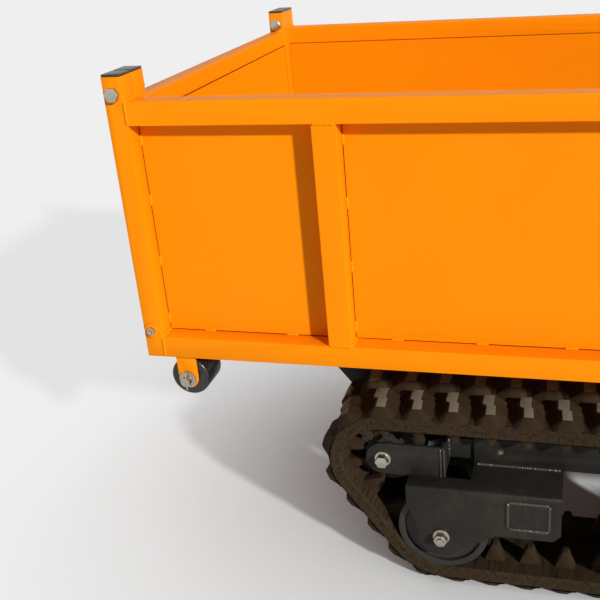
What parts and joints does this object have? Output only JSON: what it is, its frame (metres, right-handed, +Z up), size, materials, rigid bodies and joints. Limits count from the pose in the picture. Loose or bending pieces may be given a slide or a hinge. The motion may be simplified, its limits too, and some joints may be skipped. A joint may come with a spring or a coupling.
{
  "type": "tracked power carrier",
  "caption": "Walk-behind tracked carrier: tipping load tray with a swinging front gate on rubber crawler tracks, engine and handlebar behind.",
  "frame": {"origin": "centre of the bounding box's bottom, on the ground", "axes": "+X forward, +Y to the machine's left, +Z up"},
  "size_m": [1.9, 0.838, 0.986],
  "materials": {
    "orange_paint": "powder coat, satin",
    "black_paint": "powder coat, satin",
    "zinc_steel": "zinc plated",
    "black_rubber": "moulded, matte",
    "track_rubber": "moulded, dusty",
    "black_plastic": "grained",
    "cast_alloy": "as cast",
    "grey_casting": "painted"
  },
  "bodies": {
    "chassis": {"chassis_rails": "black_paint", "cross_tubes": "black_paint", "hinge_towers": "black_paint", "hinge_pins": "zinc_steel", "bump_stops": "black_rubber", "engine_deck": "black_paint", "track_beams": "black_paint", "beam_bolts": "zinc_steel", "wheel_brackets": "black_paint", "wheel_axles": "zinc_steel", "left_track": "track_rubber", "right_track": "track_rubber", "gearbox": "grey_casting", "drive_belt": "black_rubber", "belt_guard": "black_paint", "engine_block": "cast_alloy", "engine_cowl": "black_plastic", "fuel_tank": "black_paint", "muffler": "cast_alloy", "air_cleaner": "black_plastic", "handlebar": "black_paint", "hand_grips": "black_rubber"},
    "tray": {"left_side_frame": "orange_paint", "right_side_frame": "orange_paint", "tray_panels": "orange_paint", "rear_wall": "orange_paint", "tray_floor": "orange_paint", "floor_bearers": "orange_paint", "tray_fittings": "orange_paint", "post_caps": "black_plastic", "gate_hinge_bolts": "zinc_steel", "clamp_screws": "zinc_steel", "roller_brackets": "orange_paint", "roller_pins": "zinc_steel"},
    "front_gate": {"gate_frame": "orange_paint", "gate_panel": "orange_paint", "gate_caps": "black_plastic"},
    "left_roller": {"left_tip_roller": "black_rubber"},
    "right_roller": {"right_tip_roller": "black_rubber"},
    "tip_latch": {"tip_latch": "black_paint"},
    "left_yoke": {"left_yoke": "black_paint"},
    "right_yoke": {"right_yoke": "black_paint"},
    "left_idler": {"left_idler": "grey_casting"},
    "right_idler": {"right_idler": "grey_casting"},
    "left_sprocket": {"left_sprocket": "grey_casting"},
    "right_sprocket": {"right_sprocket": "grey_casting"},
    "gearbox_pulley": {"gearbox_pulley": "zinc_steel"},
    "engine_pulley": {"engine_pulley": "zinc_steel"},
    "fuel_cap": {"fuel_cap": "black_plastic"},
    "left_steering_lever": {"left_steering_lever": "black_paint"},
    "right_steering_lever": {"right_steering_lever": "black_paint"},
    "drive_lever": {"drive_lever": "black_paint"},
    "throttle_lever": {"throttle_lever": "black_paint"},
    "gear_lever": {"gear_lever": "black_paint"},
    "left_wheel_1": {"left_wheel_1": "grey_casting"},
    "left_wheel_2": {"left_wheel_2": "grey_casting"},
    "left_wheel_3": {"left_wheel_3": "grey_casting"},
    "right_wheel_1": {"right_wheel_1": "grey_casting"},
    "right_wheel_2": {"right_wheel_2": "grey_casting"},
    "right_wheel_3": {"right_wheel_3": "grey_casting"}
  },
  "joints": [
    {"name": "tray_tip", "type": "hinge", "parent": "chassis", "child": "tray", "pos_m": [0.745, 0, 0.402], "axis": [0, 1, 0], "range_deg": [0, 50]},
    {"name": "gate_swing", "type": "hinge", "parent": "tray", "child": "front_gate", "pos_m": [0.935, 0, 0.87], "axis": [0, -1, 0], "range_deg": [0, 90]},
    {"name": "latch_release", "type": "hinge", "parent": "chassis", "child": "tip_latch", "pos_m": [-0.32, 0, 0.35], "axis": [0, -1, 0], "range_deg": [0, 18], "stiffness_Nm_per_rad": 3, "springref_deg": -17.19},
    {"name": "engine_pulley_spin", "type": "hinge", "parent": "chassis", "child": "engine_pulley", "pos_m": [-0.59, -0.156, 0.422], "axis": [0, 1, 0], "continuous": true},
    {"name": "gearbox_pulley_spin", "type": "hinge", "parent": "chassis", "child": "gearbox_pulley", "pos_m": [-0.57, -0.156, 0.205], "axis": [0, 1, 0], "continuous": true},
    {"name": "fuel_cap_turn", "type": "hinge", "parent": "chassis", "child": "fuel_cap", "pos_m": [-0.56, -0.04, 0.64], "axis": [0, 0, 1], "range_deg": [0, 90]},
    {"name": "left_steering_squeeze", "type": "hinge", "parent": "chassis", "child": "left_steering_lever", "pos_m": [-0.796, 0.23, 0.872], "axis": [0, 1, 0], "range_deg": [0, 8], "stiffness_Nm_per_rad": 3, "springref_deg": -14.32},
    {"name": "right_steering_squeeze", "type": "hinge", "parent": "chassis", "child": "right_steering_lever", "pos_m": [-0.796, -0.23, 0.872], "axis": [0, 1, 0], "range_deg": [0, 8], "stiffness_Nm_per_rad": 3, "springref_deg": -14.32},
    {"name": "drive_lever_press", "type": "hinge", "parent": "chassis", "child": "drive_lever", "pos_m": [-0.796, 0.23, 0.928], "axis": [0, -1, 0], "range_deg": [0, 8], "stiffness_Nm_per_rad": 3, "springref_deg": -14.32},
    {"name": "throttle_move", "type": "hinge", "parent": "chassis", "child": "throttle_lever", "pos_m": [-0.796, -0.23, 0.928], "axis": [0, -1, 0], "range_deg": [0, 50]},
    {"name": "gear_shift", "type": "hinge", "parent": "chassis", "child": "gear_lever", "pos_m": [-0.738, 0, 0.806], "axis": [0, 1, 0], "range_deg": [-12, 12]},
    {"name": "left_roller_spin", "type": "hinge", "parent": "tray", "child": "left_roller", "pos_m": [0.89, 0.365, 0.401], "axis": [0, 1, 0], "continuous": true},
    {"name": "left_tension", "type": "slide", "parent": "chassis", "child": "left_yoke", "axis": [-1, 0, 0], "range_m": [0, 0.02]},
    {"name": "left_idler_spin", "type": "hinge", "parent": "left_yoke", "child": "left_idler", "pos_m": [0.582, 0.275, 0.239], "axis": [0, 1, 0], "continuous": true},
    {"name": "left_sprocket_spin", "type": "hinge", "parent": "chassis", "child": "left_sprocket", "pos_m": [-0.47, 0.275, 0.222], "axis": [0, 1, 0], "continuous": true},
    {"name": "left_wheel_1_spin", "type": "hinge", "parent": "chassis", "child": "left_wheel_1", "pos_m": [0.48, 0.275, 0.118], "axis": [0, 1, 0], "continuous": true},
    {"name": "left_wheel_2_spin", "type": "hinge", "parent": "chassis", "child": "left_wheel_2", "pos_m": [0.145, 0.275, 0.118], "axis": [0, 1, 0], "continuous": true},
    {"name": "left_wheel_3_spin", "type": "hinge", "parent": "chassis", "child": "left_wheel_3", "pos_m": [-0.19, 0.275, 0.118], "axis": [0, 1, 0], "continuous": true},
    {"name": "right_roller_spin", "type": "hinge", "parent": "tray", "child": "right_roller", "pos_m": [0.89, -0.365, 0.401], "axis": [0, 1, 0], "continuous": true},
    {"name": "right_tension", "type": "slide", "parent": "chassis", "child": "right_yoke", "axis": [-1, 0, 0], "range_m": [0, 0.02]},
    {"name": "right_idler_spin", "type": "hinge", "parent": "right_yoke", "child": "right_idler", "pos_m": [0.582, -0.275, 0.239], "axis": [0, 1, 0], "continuous": true},
    {"name": "right_sprocket_spin", "type": "hinge", "parent": "chassis", "child": "right_sprocket", "pos_m": [-0.47, -0.275, 0.222], "axis": [0, 1, 0], "continuous": true},
    {"name": "right_wheel_1_spin", "type": "hinge", "parent": "chassis", "child": "right_wheel_1", "pos_m": [0.48, -0.275, 0.118], "axis": [0, 1, 0], "continuous": true},
    {"name": "right_wheel_2_spin", "type": "hinge", "parent": "chassis", "child": "right_wheel_2", "pos_m": [0.145, -0.275, 0.118], "axis": [0, 1, 0], "continuous": true},
    {"name": "right_wheel_3_spin", "type": "hinge", "parent": "chassis", "child": "right_wheel_3", "pos_m": [-0.19, -0.275, 0.118], "axis": [0, 1, 0], "continuous": true}
  ],
  "couplings": [
    {"joint": "gearbox_pulley_spin", "follows": "engine_pulley_spin", "ratio": 0.72727},
    {"joint": "left_idler_spin", "follows": "left_sprocket_spin", "ratio": 1.2121},
    {"joint": "left_wheel_1_spin", "follows": "left_sprocket_spin", "ratio": 1.0256},
    {"joint": "left_wheel_2_spin", "follows": "left_sprocket_spin", "ratio": 1.0256},
    {"joint": "left_wheel_3_spin", "follows": "left_sprocket_spin", "ratio": 1.0256},
    {"joint": "right_idler_spin", "follows": "right_sprocket_spin", "ratio": 1.2121},
    {"joint": "right_wheel_1_spin", "follows": "right_sprocket_spin", "ratio": 1.0256},
    {"joint": "right_wheel_2_spin", "follows": "right_sprocket_spin", "ratio": 1.0256},
    {"joint": "right_wheel_3_spin", "follows": "right_sprocket_spin", "ratio": 1.0256}
  ]
}
